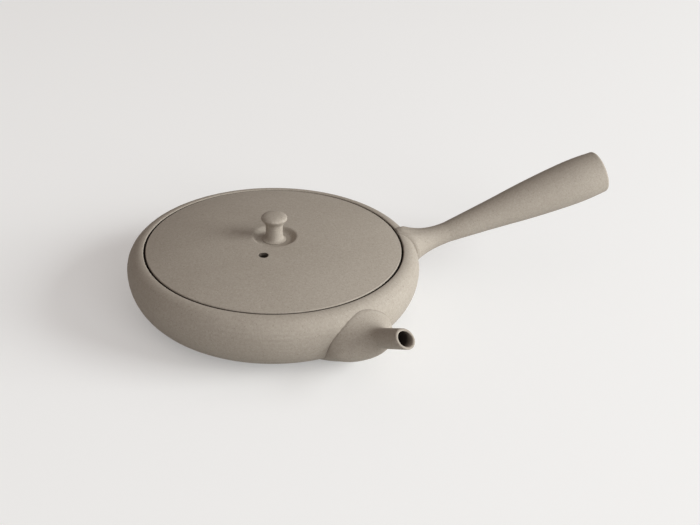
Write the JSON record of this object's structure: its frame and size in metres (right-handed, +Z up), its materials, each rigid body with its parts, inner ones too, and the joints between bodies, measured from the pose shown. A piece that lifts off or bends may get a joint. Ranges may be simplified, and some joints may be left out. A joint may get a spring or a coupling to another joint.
{
  "type": "side handled teapot",
  "caption": "Flat side-handled clay teapot with a flush lid, a small knob, a flared spout with a pierced strainer and a hollow trumpet handle.",
  "frame": {"origin": "centre of the flat underside of the pot", "axes": "+Z up, +X along the handle in plan, so the spout points to -Y and a little to +X"},
  "size_m": [0.2437, 0.1653, 0.0622],
  "materials": {
    "pot_clay": "unglazed, fine-grained, matte",
    "lid_clay": "unglazed, fine-grained, matte"
  },
  "bodies": {
    "pot": {"pot": "pot_clay", "spout": "pot_clay", "strainer": "pot_clay", "handle": "pot_clay"},
    "lid": {"lid": "lid_clay", "lid_knob": "lid_clay"}
  },
  "joints": [
    {"name": "lid_lift", "type": "slide", "parent": "pot", "child": "lid", "axis": [0, 0, 1], "range_m": [0, 0.06]}
  ]
}
